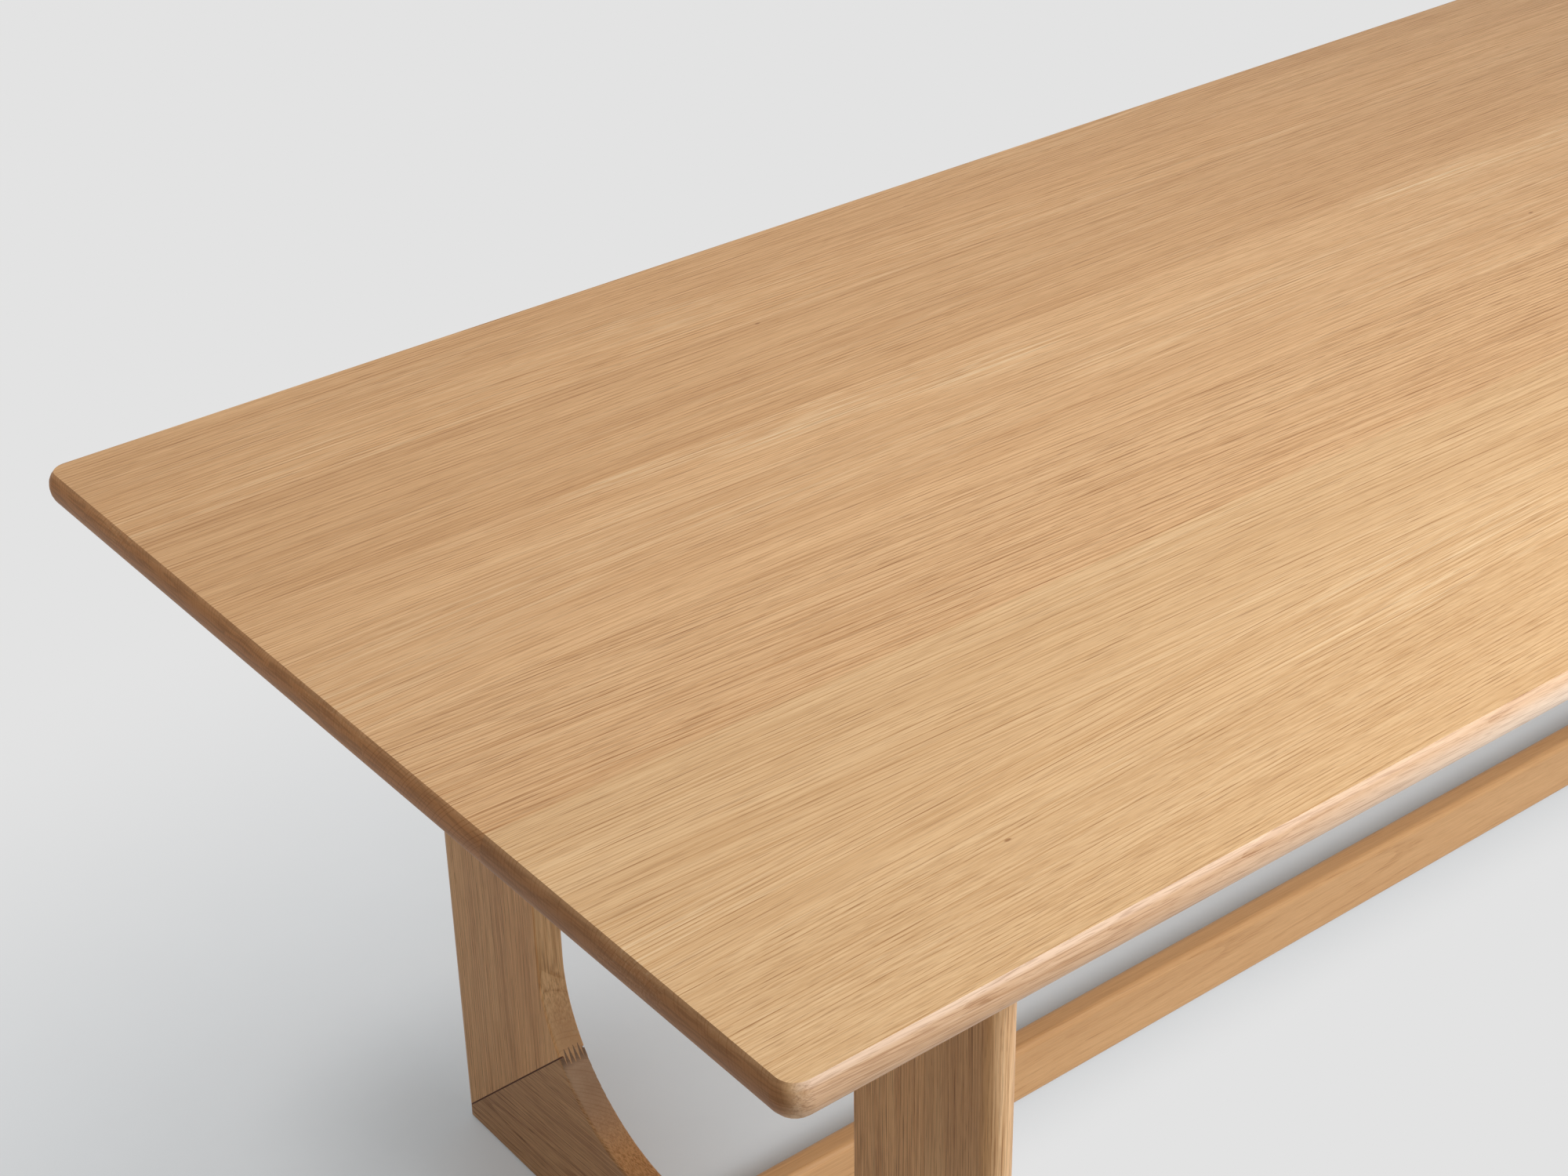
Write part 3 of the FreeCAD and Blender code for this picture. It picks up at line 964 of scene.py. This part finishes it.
def made_object(name: str, mesh: bmesh.types.BMesh) -> bpy.types.Object:
    """Puts a finished mesh into the scene as an object at the origin.

    Args:
        name: Name of the object.
        mesh: Its mesh, which is used up.

    Returns:
        The object.
    """
    data = bpy.data.meshes.new(name)
    mesh.to_mesh(data)
    mesh.free()
    made = bpy.data.objects.new(name, data)
    bpy.context.scene.collection.objects.link(made)
    return made


def points_of(geometry: list[Any]) -> list[bmesh.types.BMVert]:
    """The points among the parts of a mesh."""
    return [part for part in geometry if isinstance(part, bmesh.types.BMVert)]


@dataclass(frozen=True)
class TurnedPiece:
    """A small piece turned about its own axis, with a drive recess in its head.

    Attributes:
        profile: Radius and height in metres, from the rim of the head round to the far end.
        drive: Kind of recess.
        drive_radius: Radius of the recess in metres.
        drive_depth: Depth of the recess in metres.
        steps: Faces round the piece.
        slot_width: Width of a slot beside its length.
        cross_waist: Radius of a cross between its arms beside its own radius.
        merged: Distance below which two points are one, in metres.
        crease: Angle between faces from which an edge is sharp, in radians.
    """

    profile: tuple[Spot, ...]
    drive: Drive
    drive_radius: float = 0.0
    drive_depth: float = 0.0
    steps: int = 36
    slot_width: float = 0.24
    cross_waist: float = 0.42
    merged: float = 0.00001
    crease: float = math.radians(40)

    def turned(self) -> bmesh.types.BMesh:
        """Turns one piece about the Z axis, with its head at the bottom.

        Returns:
            The closed mesh.
        """
        mesh = bmesh.new()
        line = [mesh.verts.new((radius, 0.0, height)) for radius, height in self.profile]
        edges = [mesh.edges.new(pair) for pair in zip(line, line[1:])]
        bmesh.ops.spin(mesh, geom=line + edges, cent=(0, 0, 0), axis=(0, 0, 1), dvec=(0, 0, 0),
                       angle=math.tau, steps=self.steps, use_merge=True)
        bmesh.ops.remove_doubles(mesh, verts=mesh.verts, dist=self.merged)
        if self.drive is not Drive.NONE:
            self.sink_drive(mesh)
        bmesh.ops.recalc_face_normals(mesh, faces=mesh.faces)
        return mesh

    def sink_drive(self, mesh: bmesh.types.BMesh) -> None:
        """Closes the open rim of the head with the drive recess.

        Args:
            mesh: Mesh whose only open edges are the rim.
        """
        rim = [edge for edge in mesh.edges if edge.is_boundary]
        outline = self.drive_outline(mesh)
        bmesh.ops.bridge_loops(mesh, edges=rim + outline)
        walls = bmesh.ops.extrude_edge_only(mesh, edges=outline)["geom"]
        floor_edges = [part for part in walls if isinstance(part, bmesh.types.BMEdge) and part.is_boundary]
        bmesh.ops.translate(mesh, verts=points_of(walls), vec=(0, 0, self.drive_depth))
        bmesh.ops.contextual_create(mesh, geom=floor_edges)

    def drive_outline(self, mesh: bmesh.types.BMesh) -> list[bmesh.types.BMEdge]:
        """Draws the outline of the recess at the height of the rim.

        Args:
            mesh: Mesh that it goes into.

        Returns:
            The edges of the outline.
        """
        ring = bmesh.ops.create_circle(mesh, segments=self.drive.value, radius=self.drive_radius)["verts"]
        if self.drive is Drive.CROSS:
            bmesh.ops.scale(mesh, verts=ring[::2], vec=(self.cross_waist, self.cross_waist, 1.0))
        if self.drive is Drive.SLOT:
            narrow = Matrix.Diagonal((1.0, self.slot_width, 1.0, 1.0))
            bmesh.ops.transform(mesh, matrix=narrow @ Matrix.Rotation(math.pi / 4, 4, "Z"), verts=ring)
        return list(dict.fromkeys(edge for point in ring for edge in point.link_edges))

    def placed(self, name: str, places: list[Matrix]) -> bpy.types.Object:
        """Makes one object from copies of the piece.

        Args:
            name: Name of the object.
            places: Where each copy goes.

        Returns:
            The object, at the origin.
        """
        mesh = self.turned()
        pattern = list(mesh.verts) + list(mesh.edges) + list(mesh.faces)
        for place in places:
            copy = bmesh.ops.duplicate(mesh, geom=pattern)["geom"]
            bmesh.ops.transform(mesh, matrix=place, verts=points_of(copy))
        bmesh.ops.delete(mesh, geom=points_of(pattern), context="VERTS")
        for face in mesh.faces:
            face.smooth = True
        for edge in mesh.edges:
            edge.smooth = edge.calc_face_angle(0.0) < self.crease
        return made_object(name, mesh)


def screw_place(x: float, y: float, z: float, spin: float) -> Matrix:
    """Place of a screw that stands on its head, turned so that the recesses don't line up.

    Args:
        x: Place along the table in metres.
        y: Place across the table in metres.
        z: Height of its head in metres.
        spin: Turn in radians for each metre across the table.

    Returns:
        The place and turn.
    """
    return Matrix.Translation((x, y, z)) @ Matrix.Rotation(y * spin, 4, "Z")


def fit_piece(piece: bpy.types.Object, node: str, finish: bpy.types.Material) -> None:
    """Sets a detailed piece in place of a plain solid.

    Args:
        piece: Detailed piece.
        node: Solid that it stands for.
        finish: Its material.
    """
    piece.data.materials.append(finish)
    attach(piece, "root")
    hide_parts(node)
    log.info("%s in place of %s", piece.name, node)


@dataclass
class Tabletop:
    """Glued top of nine staves, with the steel channels under it.

    Attributes:
        finishes: Shared finishes.
        near_tone: Colours of the staves near the front edge: paler and yellower as a painted sheen, with
            painted shade on the crown of the front edge, painted sheen below it and a painted highlight on
            its arris.
        tone: Colours of the staves in the middle.
        far_tone: Colours of the staves near the back edge: darker and more saturated as painted shade, with a
            painted sheen on the back edge and a painted highlight on its arris.
        seed_step: Difference between the figures of neighbouring staves.
        pins: Places of pin knots by stave, along and across it from its middle, in metres.
        screw_spin: Turn of the channel screws in radians for each metre across the table.
    """

    finishes: Finishes
    near_tone: OakTone = OakTone(
        pale=tint(234, 195, 147), brown=tint(202, 155, 104), end=(0.60, 0.43, 0.33), end_lines=0.35,
        # painted shade on the front edge's crown, painted sheen below it and a painted highlight on its arris
        side=(0.82, 0.81, 0.93), painted_sheen_share=1.0, painted_highlight_share=0.55,
    )
    tone: OakTone = OakTone(end=(0.75, 0.55, 0.40), end_lines=0.35)
    far_tone: OakTone = OakTone(
        pale=tint(234, 187, 136), brown=tint(199, 146, 94), end=(0.79, 0.60, 0.45), end_lines=0.35,
        # painted sheen on the back edge and a painted highlight on its arris
        side=(0.95, 0.97, 1.18), painted_highlight_share=0.38,
    )
    seed_step: float = 1.7
    pins: tuple[tuple[int, Spot], ...] = ((1, (-0.842, 0.042)), (5, (0.194, -0.004)), (7, (-0.501, 0.070)))
    screw_spin: float = 9.0

    def staves(self) -> list[Board]:
        """The nine staves from the near side to the far side.

        Returns:
            The staves.
        """
        dark_stave = Sawing(-0.20, -0.13, 0.020, 0.004, 0.0032, 1.05, 0.95, 0.15, wave=0.02, fibres=2.1)
        # colours, then heart and lean across and deep, ring width, rings, pores and rays, then lightness
        cuts = (
            (self.near_tone, Sawing(0.17, -0.12, -0.010, 0.035, 0.0030, 0.76, 0.60, 0.30), 0.99),
            (self.near_tone, Sawing(-0.13, -0.07, -0.030, 0.0, 0.0030, 0.76, 0.70, 0.80), 1.01),
            (self.near_tone, Sawing(0.24, -0.06, 0.006, 0.0, 0.0036, 0.76, 0.66, 0.35), 1.00),
            (self.tone, dark_stave, 0.97),
            (self.tone, Sawing(0.19, -0.05, -0.008, 0.0, 0.0034, 0.76, 0.66, 0.35), 1.00),
            (self.tone, Sawing(-0.22, -0.05, 0.012, 0.0, 0.0028, 0.76, 0.66, 0.80), 1.02),
            (self.far_tone, Sawing(0.15, -0.09, -0.012, 0.0, 0.0032, 0.80, 0.70, 0.20), 0.95),
            (self.far_tone, Sawing(-0.17, -0.06, 0.009, 0.0, 0.0034, 0.76, 0.66, 0.40), 0.99),
            (self.far_tone, Sawing(0.14, -0.08, -0.010, 0.0, 0.0030, 0.80, 0.70, 0.20), 0.97),
        )
        staves = []
        for number, (tone, sawing, shade) in enumerate(cuts, 1):
            pins = tuple(place for stave, place in self.pins if stave == number)
            seed = number * self.seed_step
            staves.append(Board(f"top_stave_{number}", Lay.STAVE, sawing, tone, shade, seed, pins))
        return staves

    def build(self) -> None:
        """Dresses the staves and channels and makes the channel screws."""
        for stave in self.staves():
            stave.dress()
        for side in ("left", "right"):
            dress_node(f"{side}_channel", self.finishes.paint)
        self.channel_screws()

    def channel_screws(self) -> None:
        """Makes pan-head screws with a cross recess, one in each stave but the outer two."""
        low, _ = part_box("channel_screws")
        middles = [sum(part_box(f"top_stave_{place}"), Vector()).y / 2 for place in range(2, 9)]
        places = []
        for side in ("left", "right"):
            x = sum(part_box(f"{side}_channel"), Vector()).x / 2
            places += [screw_place(x, y, low.z, self.screw_spin) for y in middles]
        profile = (
            (0.0027, 0.0), (0.0036, 0.0004), (0.0042, 0.0012), (0.0045, 0.0022), (0.0045, 0.0026),
            (0.0020, 0.0026), (0.0020, 0.0160), (0.0, 0.0186),
        )
        screw = TurnedPiece(profile, Drive.CROSS, drive_radius=0.0023, drive_depth=0.0014, steps=24)
        fit_piece(screw.placed("channel_pan_screws", places), "channel_screws", self.finishes.steel)


class Side(Enum):
    """End of the table at which a trestle stands."""

    LEFT = "left"
    RIGHT = "right"

    @property
    def sign(self) -> int:
        """Direction of the end along the table."""
        return -1 if self is Side.LEFT else 1

    @property
    def seed(self) -> float:
        """Number that sets the figure of the end's boards apart."""
        return 20.0 if self is Side.LEFT else 40.0


@dataclass
class Trestle:
    """One U-shaped trestle with its bearer, fasteners and glides.

    Attributes:
        side: End at which it stands.
        finishes: Shared finishes.
        screw_ys: Places of the bearer screws in metres.
        screw_spin: Turn of the bearer screws in radians for each metre across the table.
        bolt_y: Distance of each upright bolt from the middle in metres.
        glide_y: Distance of each glide from the middle in metres.
        tone: Colours of the uprights and the bearer, whose side colour paints a pale sheen on the narrow
            faces.
        painted_curve_shade: Share of its lightness that the far upright's curve keeps, for each part of the
            colour: painted shade on the curve.
        rail_tone: Colours of the rail, whose end colour paints a pale sheen on the end grain along the curve.
        seed_step: Difference between the figures of neighbouring boards.
    """

    side: Side
    finishes: Finishes
    screw_ys: tuple[float, ...] = (-0.18275, -0.0645, 0.0645, 0.18275)
    screw_spin: float = 11.0
    bolt_y: float = 0.27884
    glide_y: float = 0.322
    tone: OakTone = OakTone(
        pale=tint(236, 184, 128), brown=tint(196, 140, 87), pore=tint(118, 74, 40), ray=tint(240, 198, 146),
        # side paints a pale, bluer sheen on the narrow faces
        end=(0.92, 0.90, 0.90), end_turn=(0.08, 0.55), side=(1.06, 1.21, 1.47),
    )
    # painted shade on the far upright's curve
    painted_curve_shade: Colour = (0.76, 0.87, 1.02)
    rail_tone: OakTone = OakTone(
        pale=tint(232, 178, 123), brown=tint(190, 134, 84), pore=tint(110, 70, 38), ray=tint(234, 192, 140),
        # end paints a pale sheen on the rail's end grain along the curve
        end=(0.88, 1.10, 1.62), end_turn=(0.30, 0.72),
    )
    seed_step: float = 1.3

    def named(self, piece: str) -> str:
        """Name of one of this trestle's solids."""
        return f"{self.side.value}_{piece}"

    @property
    def middle_x(self) -> float:
        """Place of its middle plane along the table."""
        low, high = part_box(self.named("rail"))
        return (low.x + high.x) / 2

    def boards(self) -> list[Board]:
        """The boards of the trestle.

        Returns:
            The boards.
        """
        # heart and lean across and deep, ring width, rings, pores, rays
        near_outer = Sawing(-0.20, -0.18, 0.006, 0.0, 0.0024, 0.85, 0.85, 0.25, fibres=2.6, bands=1.8)
        near_inner = Sawing(0.20, -0.04, -0.008, 0.0, 0.0024, 1.10, 0.95, 0.25, fibres=3.3, bands=2.2)
        far_outer = Sawing(0.20, 0.17, 0.010, 0.0, 0.0026, 0.85, 0.75, 0.20, fibres=2.8, bands=1.7)
        far_inner = Sawing(-0.20, -0.02, 0.004, 0.0, 0.0026, 0.85, 0.75, 0.30, fibres=2.8, bands=1.7)
        rail = Sawing(-0.035, -0.05, 0.05, 0.02, 0.0030, 0.80, 0.85, 0.15, wave=0.02, fibres=2.8, bands=1.2)
        bearer = Sawing(0.09, -0.08, 0.01, 0.0, 0.0032, 0.50, 0.60, 0.20)
        painted_curve_tone = replace(self.tone, side=self.painted_curve_shade)
        # the lightness is partly each board's own tone and partly painted light: the far upright lighter and
        # the rail darker for how the light falls on them
        # piece, which way it lies, sawing, colours, lightness
        rows = (
            ("upright_near_outer", Lay.UPRIGHT, near_outer, self.tone, 0.90),
            ("upright_near_inner", Lay.UPRIGHT, near_inner, self.tone, 1.02),
            ("upright_far_outer", Lay.UPRIGHT, far_outer, self.tone, 1.08),
            ("upright_far_inner", Lay.UPRIGHT, far_inner, painted_curve_tone, 1.16),
            ("rail", Lay.RAIL, rail, self.rail_tone, 0.80),
            ("bearer", Lay.BEARER, bearer, self.tone, 0.98),
        )
        boards = []
        for number, (piece, lay, sawing, tone, shade) in enumerate(rows):
            seed = self.side.seed + number * self.seed_step
            grooved = lay is not Lay.BEARER
            boards.append(Board(self.named(piece), lay, sawing, tone, shade, seed, grooved=grooved))
        return boards

    def build(self) -> None:
        """Dresses the boards and hardware and makes the detailed fasteners."""
        for board in self.boards():
            board.dress()
        for piece in ("upright_bolts", "bolt_washers", "screw_washers", "halving_washer"):
            dress_node(self.named(piece), self.finishes.steel)
        for piece in ("top_inserts", "halving_insert"):
            dress_node(self.named(piece), self.finishes.brass)
        dress_node(self.named("upright_dowels"), self.finishes.beech)
        self.bearer_screws()
        self.halving_bolt()
        self.barrel_nuts()
        self.glides()

    def bearer_screws(self) -> None:
        """Makes button-head screws with a hex socket under the bearer."""
        node = self.named("bearer_screws")
        low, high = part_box(node)
        length = high.z - low.z
        profile = (
            (0.0030, 0.0), (0.0040, 0.0003), (0.0050, 0.0010), (0.0057, 0.0022), (0.0060, 0.0034),
            (0.0060, 0.0040), (0.0030, 0.0040), (0.0030, length - 0.0008), (0.0024, length), (0.0, length),
        )
        screw = TurnedPiece(profile, Drive.HEX, drive_radius=0.0023, drive_depth=0.0024)
        places = [screw_place(self.middle_x, y, low.z, self.screw_spin) for y in self.screw_ys]
        fit_piece(screw.placed(self.named("bearer_socket_screws"), places), node, self.finishes.steel)

    def halving_bolt(self) -> None:
        """Makes the cap bolt with a hex socket under the rail."""
        node = self.named("halving_bolt")
        low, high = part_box(node)
        length = high.z - low.z
        profile = (
            (0.0044, 0.0), (0.0058, 0.0), (0.0065, 0.0007), (0.0065, 0.0080), (0.0040, 0.0080),
            (0.0040, length - 0.001), (0.0032, length), (0.0, length),
        )
        bolt = TurnedPiece(profile, Drive.HEX, drive_radius=0.0035, drive_depth=0.0040)
        places = [Matrix.Translation((self.middle_x, 0.0, low.z))]
        fit_piece(bolt.placed(self.named("halving_socket_bolt"), places), node, self.finishes.steel)

    def barrel_nuts(self) -> None:
        """Makes slotted barrel nuts, flush with the inner face of the trestle."""
        node = self.named("barrel_nuts")
        low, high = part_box(node)
        length = high.x - low.x
        profile = (
            (0.0052, 0.0), (0.0064, 0.0), (0.0070, 0.0006), (0.0070, length - 0.0006), (0.0064, length),
            (0.0, length),
        )
        nut = TurnedPiece(profile, Drive.SLOT, drive_radius=0.0050, drive_depth=0.0018)
        face_x = high.x if self.side is Side.LEFT else low.x
        turn = Matrix.Rotation(self.side.sign * math.pi / 2, 4, "Y")
        height = (low.z + high.z) / 2
        places = [
            Matrix.Translation((face_x, y, height)) @ turn @ Matrix.Rotation(math.pi / 2, 4, "Z")
            for y in (-self.bolt_y, self.bolt_y)
        ]
        fit_piece(nut.placed(self.named("slotted_barrel_nuts"), places), node, self.finishes.steel)

    def glides(self) -> None:
        """Makes the soft-edged glides with a moulded ring on the sole."""
        node = self.named("glides")
        profile = (
            (0.0, 0.0004), (0.0030, 0.0004), (0.0034, 0.0), (0.0070, 0.0), (0.0087, 0.0005),
            (0.0097, 0.0016), (0.0100, 0.0030), (0.0100, 0.0040), (0.0025, 0.0040), (0.0025, 0.0165),
            (0.0019, 0.0180), (0.0, 0.0180),
        )
        glide = TurnedPiece(profile, Drive.NONE)
        places = [Matrix.Translation((self.middle_x, y, 0.0)) for y in (-self.glide_y, self.glide_y)]
        fit_piece(glide.placed(self.named("moulded_glides"), places), node, self.finishes.plastic)


@dataclass
class Stretcher:
    """Low board that joins the two trestles.

    Attributes:
        tone: Its colours.
        sawing: How it was sawn.
        seed: Number that sets its figure apart.
    """

    tone: OakTone = OakTone(
        pale=tint(225, 182, 132), brown=tint(193, 145, 96), pore=tint(140, 93, 53), ray=tint(228, 193, 149),
    )
    sawing: Sawing = Sawing(0.012, -0.06, 0.012, 0.03, 0.0064, 0.20, 0.30, 0.10, wave=0.012, fibres=0.8)
    seed: float = 60.0

    def build(self) -> None:
        """Dresses the stretcher."""
        Board("stretcher", Lay.STRETCHER, self.sawing, self.tone, 1.0, self.seed).dress()


@dataclass(frozen=True)
class Lamp:
    """One soft lamp.

    Attributes:
        name: Name of the lamp.
        place: Where it stands, in metres.
        target: Where it points, in metres.
        size: Side of its square in metres.
        power: Its power in watts.
    """

    name: str
    place: Point
    target: Point
    size: float
    power: float

    def build(self) -> None:
        """Hangs the lamp."""
        data = bpy.data.lights.new(self.name, "AREA")
        data.size = self.size
        data.energy = self.power
        lamp = bpy.data.objects.new(self.name, data)
        lamp.location = self.place
        direction = Vector(self.target) - Vector(self.place)
        lamp.rotation_euler = direction.to_track_quat("-Z", "Y").to_euler()
        bpy.context.scene.collection.objects.link(lamp)
        log.info("lamp %s", self.name)


@dataclass
class Studio:
    """Plain pale floor, soft lamps and an even surround.

    Attributes:
        seen: Colour of floor and surround as the camera sees them.
        ground: Colour of the floor where the table shades it.
        bounce: Colour that the floor throws back on the table.
        surround: Strength of the even light from all sides.
        floor_radius: Radius of the floor in metres.
        floor_steps: Corners round the floor.
        mottle: Waves per metre of the floor's mottle.
        mottle_shows: Values of the noise at which the mottle starts to clear and is clear.
        mottle_shade: Lightness of the mottle beside the floor.
        shadow_y: Middle of the shadow across the table in metres.
        shadow_half_length: Half the length of the shadow in metres.
        near_share: How much sooner the floor evens out on the near side.
        lifts: Distances from the shadow's middle at which the floor starts to lift and is lifted.
        lift: How even the lifted floor is, as a share of painted light over its shade.
        evens_out: Distances from the shadow's middle at which the floor starts to even out and is even.
        foot_x: Distance of the trestles from the middle of the table in metres.
        foot_y: Distance of the trestles' corners from the middle of the table in metres.
        contact: Distances from a trestle at which its own shade starts to fade and has faded.
        contact_least: Share of the evenness that is left beside a trestle.
    """

    seen: Colour = tint(227, 227, 227)
    ground: Colour = (0.81, 0.92, 1.0)
    bounce: Colour = tint(206, 204, 201)
    surround: float = 0.285
    floor_radius: float = 14.0
    floor_steps: int = 96
    mottle: float = 14.0
    mottle_shows: Range = (0.3, 0.7)
    mottle_shade: float = 0.97
    shadow_y: float = 0.10
    shadow_half_length: float = 0.9
    near_share: float = 9.0
    lifts: Range = (0.014, 0.070)
    lift: float = 0.42
    evens_out: Range = (0.10, 1.22)
    foot_x: float = 0.8245
    foot_y: float = 0.34
    contact: Range = (0.03, 0.26)
    contact_least: float = 0.45

    def lamps(self) -> list[Lamp]:
        """The lamps: name, place, target, size and power.

        Returns:
            The lamps.
        """
        return [
            Lamp("front_soft_box", (0.1, -1.75, 2.07), (-0.1, 0.0, 0.6), 0.4, 34.5),
            Lamp("low_soft_box", (0.2, -2.6, 0.9), (0.1, 0.0, 0.5), 2.4, 20.0),
            Lamp("top_soft_box", (-0.9, 0.6, 3.2), (-0.9, 0.6, 0.0), 2.0, 18.0),
        ]

    def build(self) -> None:
        """Sets up the floor, the surround and the lamps."""
        self.floor()
        self.world()
        for lamp in self.lamps():
            lamp.build()
        bpy.context.scene.view_settings.view_transform = "Standard"

    def floor(self) -> None:
        """Lays a round floor that keeps the table's shadow and is even far off."""
        mesh = bmesh.new()
        bmesh.ops.create_circle(mesh, cap_ends=True, segments=self.floor_steps, radius=self.floor_radius)
        floor = made_object("studio_floor", mesh)
        floor.data.materials.append(self.floor_finish())
        log.info("floor")

    def floor_finish(self) -> bpy.types.Material:
        """Makes the matt floor, which evens out away from the shadow with an even glow that paints light over
        its shade.

        Returns:
            The material.
        """
        tree = FinishTree("pale_floor")
        place = tree.place()
        x, y, _ = tree.parts(place)
        seen = tree.seen_share()
        mottle = tree.noise(place, (self.mottle,) * 3, 3.0, 4.0).step(*self.mottle_shows)
        ground = tree.mix(scaled(self.ground, self.mottle_shade), self.ground, mottle)
        colour = tree.mix(self.bounce, ground, seen)
        sockets = {"Base Color": colour, "Roughness": 1.0, "Specular IOR Level": 0.0}
        matt = tree.add("ShaderNodeBsdfPrincipled", {}, sockets)
        even = tree.add("ShaderNodeEmission", {}, {"Color": self.seen, "Strength": 1.0})
        beyond = (abs(x) - self.shadow_half_length).most(0.0)
        beside = (y - self.shadow_y).most((self.shadow_y - y) * self.near_share)
        distance = (beyond * beyond + beside * beside) ** 0.5
        # the glow paints light over the floor's shade, least beside the stretcher's shadow and the trestles
        evenness = distance.step(*self.lifts) * self.lift + distance.step(*self.evens_out) * (1 - self.lift)
        from_trestle = abs(x) - self.foot_x
        past_corner = (abs(y) - self.foot_y).most(0.0)
        from_foot = (from_trestle * from_trestle + past_corner * past_corner) ** 0.5
        evenness = evenness * (from_foot.step(*self.contact) * (1 - self.contact_least) + self.contact_least)
        return tree.close(tree.add("ShaderNodeMixShader", {}, {0: evenness * seen, 1: matt, 2: even}))

    def world(self) -> None:
        """Sets the even surround, which the camera sees as pale as the floor."""
        tree = ShaderTree(bpy.data.worlds.new("studio_surround"))
        light = tree.add("ShaderNodeBackground", {}, {"Color": (1.0, 1.0, 1.0), "Strength": self.surround})
        pale = tree.add("ShaderNodeBackground", {}, {"Color": self.seen, "Strength": 1.0})
        both = tree.add("ShaderNodeMixShader", {}, {0: tree.seen_share(), 1: light, 2: pale})
        tree.node("ShaderNodeOutputWorld", {}, {"Surface": both})
        bpy.context.scene.world = tree.owner
        log.info("surround")


@dataclass
class TableCamera:
    """Camera at the photograph's place.

    Attributes:
        place: Where it stands, in metres.
        right: Direction to its right.
        up: Direction over its top.
        lens: Focal length in millimetres.
        sensor: Width of the sensor in millimetres.
    """

    place: Point = (-1.8226, -1.4305, 1.7870)
    right: Point = (0.78667, -0.61717, -0.01852)
    up: Point = (0.32977, 0.39460, 0.85766)
    lens: float = 64.02
    sensor: float = 36.0

    def build(self) -> None:
        """Sets up the camera."""
        data = bpy.data.cameras.new("table_camera")
        data.sensor_width = self.sensor
        data.lens = self.lens
        camera = bpy.data.objects.new("table_camera", data)
        right = Vector(self.right).normalized()
        back = right.cross(Vector(self.up)).normalized()
        turn = Matrix((right, back.cross(right), back)).transposed().to_4x4()
        camera.matrix_world = Matrix.Translation(self.place) @ turn
        bpy.context.scene.collection.objects.link(camera)
        bpy.context.scene.camera = camera
        log.info("camera")


def main() -> None:
    """Dresses the table and sets up the studio."""
    logging.basicConfig(level=logging.INFO, format="%(name)s: %(message)s")
    finishes = Finishes.mixed()
    Tabletop(finishes).build()
    for side in Side:
        Trestle(side, finishes).build()
    Stretcher().build()
    Studio().build()
    TableCamera().build()


if __name__ == "__main__":
    main()
